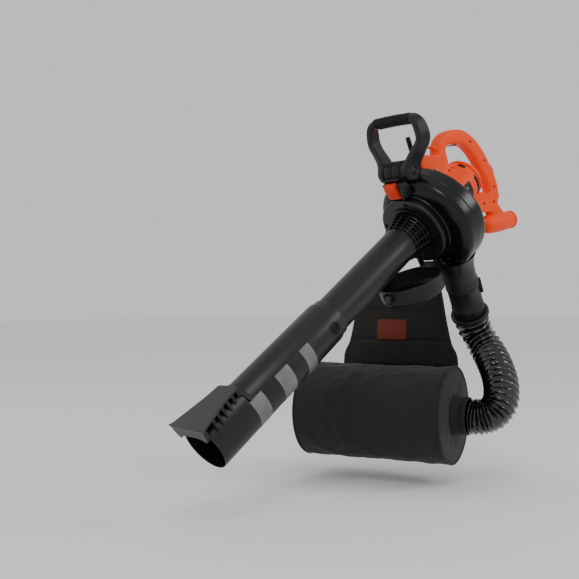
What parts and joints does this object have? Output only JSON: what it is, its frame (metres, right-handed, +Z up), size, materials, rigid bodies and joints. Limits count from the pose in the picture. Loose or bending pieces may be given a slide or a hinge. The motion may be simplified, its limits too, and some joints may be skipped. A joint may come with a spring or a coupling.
{
  "type": "leaf blower",
  "caption": "Corded garden blower vacuum in its vacuum set-up: fan scroll, loop and front handles, two-piece suction tube, corrugated hose and shoulder debris bag.",
  "frame": {"origin": "middle of the main hand grip, on the centre line of the rear loop handle's bar", "axes": "+Z up, +Y to the rear, with the suction tube running forwards and down towards -Y in the X = 0 plane; +X to the side where the outlet neck bulges"},
  "size_m": [0.6337, 1.1969, 0.9723],
  "materials": {
    "orange_abs": "satin moulded",
    "button_orange": "satin moulded",
    "charcoal_plastic": "satin moulded",
    "black_plastic": "satin moulded",
    "black_rubber": "matt",
    "hose_plastic": "gloss blow-moulded",
    "steel": "bright",
    "silver_label": "reflective film",
    "stator_steel": "varnished laminations",
    "copper": "wound copper",
    "carbon": "pressed carbon",
    "bag_fabric": "woven polyester",
    "bag_label": "woven patch"
  },
  "bodies": {
    "root": {"fan_housing_front": "charcoal_plastic", "fan_housing_rear": "charcoal_plastic", "outlet_duct": "charcoal_plastic", "hose_adaptor": "charcoal_plastic", "inlet_flange": "black_plastic", "motor_housing_left": "orange_abs", "motor_housing_right": "orange_abs", "motor_vent_cap": "black_plastic", "side_vent_inserts": "black_plastic", "badge_plate": "silver_label", "front_handle_bracket": "charcoal_plastic", "handle_pivot_pin": "steel", "release_button_spring": "steel", "cord_guard": "black_rubber", "cord_clamp": "black_plastic", "bulb_end_cap": "black_plastic", "switch_body": "charcoal_plastic", "motor_stator": "stator_steel", "bearing_front": "steel", "bearing_rear": "steel", "carbon_brushes": "carbon", "cover_hinge_pin": "steel", "vacuum_hose": "hose_plastic", "bag_cuff": "bag_fabric", "bag_drum": "bag_fabric", "bag_back_panel": "bag_fabric", "bag_zip": "bag_fabric", "shoulder_straps": "bag_fabric", "bag_label": "bag_label", "housing_screws": "steel", "scroll_screws": "steel", "interlock_switch": "black_plastic"},
    "rotor": {"motor_shaft": "steel", "motor_armature": "copper", "commutator": "copper", "fan_impeller": "black_plastic", "impeller_nut": "steel"},
    "front_handle": {"front_handle": "charcoal_plastic", "front_handle_grip": "black_rubber"},
    "release_button": {"handle_release_button": "button_orange"},
    "power_switch": {"power_switch": "black_plastic"},
    "inlet_cover": {"inlet_cover": "charcoal_plastic"},
    "cover_latch": {"cover_latch": "black_plastic"},
    "upper_tube": {"suction_tube_upper": "black_plastic"},
    "lower_tube": {"suction_tube_lower": "black_plastic", "leaf_rake": "black_plastic", "reflective_bands": "silver_label"},
    "tube_button": {"tube_latch_button": "charcoal_plastic"},
    "hose_collar": {"hose_collar": "charcoal_plastic"},
    "zip_puller": {"zip_puller": "steel"}
  },
  "joints": [
    {"name": "rotor_spin", "type": "hinge", "parent": "root", "child": "rotor", "pos_m": [0, -0.20126, -0.15166], "axis": [0, 0.7986, 0.6018], "continuous": true},
    {"name": "front_handle_pivot", "type": "hinge", "parent": "root", "child": "front_handle", "pos_m": [0, -0.34147, -0.05698], "axis": [1, 0, 0], "range_deg": [-30, 55]},
    {"name": "release_button_press", "type": "slide", "parent": "root", "child": "release_button", "axis": [0, 0.7986, 0.6018], "range_m": [0, 0.005], "stiffness_N_per_m": 600, "springref_m": -0.002},
    {"name": "power_switch_rock", "type": "hinge", "parent": "root", "child": "power_switch", "pos_m": [0, 0.03805, -0.02391], "axis": [1, 0, 0], "range_deg": [0, 8]},
    {"name": "inlet_cover_hinge", "type": "hinge", "parent": "root", "child": "inlet_cover", "pos_m": [0, -0.20531, -0.30247], "axis": [1, 0, 0], "range_deg": [-6, 0]},
    {"name": "cover_latch_flip", "type": "hinge", "parent": "inlet_cover", "child": "cover_latch", "pos_m": [0, -0.38329, -0.39759], "axis": [1, 0, 0], "range_deg": [-30, 0]},
    {"name": "tube_twist", "type": "hinge", "parent": "root", "child": "upper_tube", "pos_m": [0, -0.28112, -0.21184], "axis": [0, 0.7986, 0.6018], "range_deg": [0, 20]},
    {"name": "lower_tube_slide", "type": "slide", "parent": "upper_tube", "child": "lower_tube", "axis": [0, -0.7986, -0.6018], "range_m": [0, 0.06]},
    {"name": "tube_button_press", "type": "slide", "parent": "lower_tube", "child": "tube_button", "axis": [-1, 0, 0], "range_m": [0, 0.0025], "stiffness_N_per_m": 500, "springref_m": -0.001},
    {"name": "hose_collar_swivel", "type": "hinge", "parent": "root", "child": "hose_collar", "pos_m": [-0.01074, -0.03152, -0.44338], "axis": [-0.225, 0.5864, -0.7782], "continuous": true},
    {"name": "zip_puller_slide", "type": "slide", "parent": "root", "child": "zip_puller", "axis": [-0.9205, -0.3907, 0], "range_m": [0, 0.34]}
  ]
}
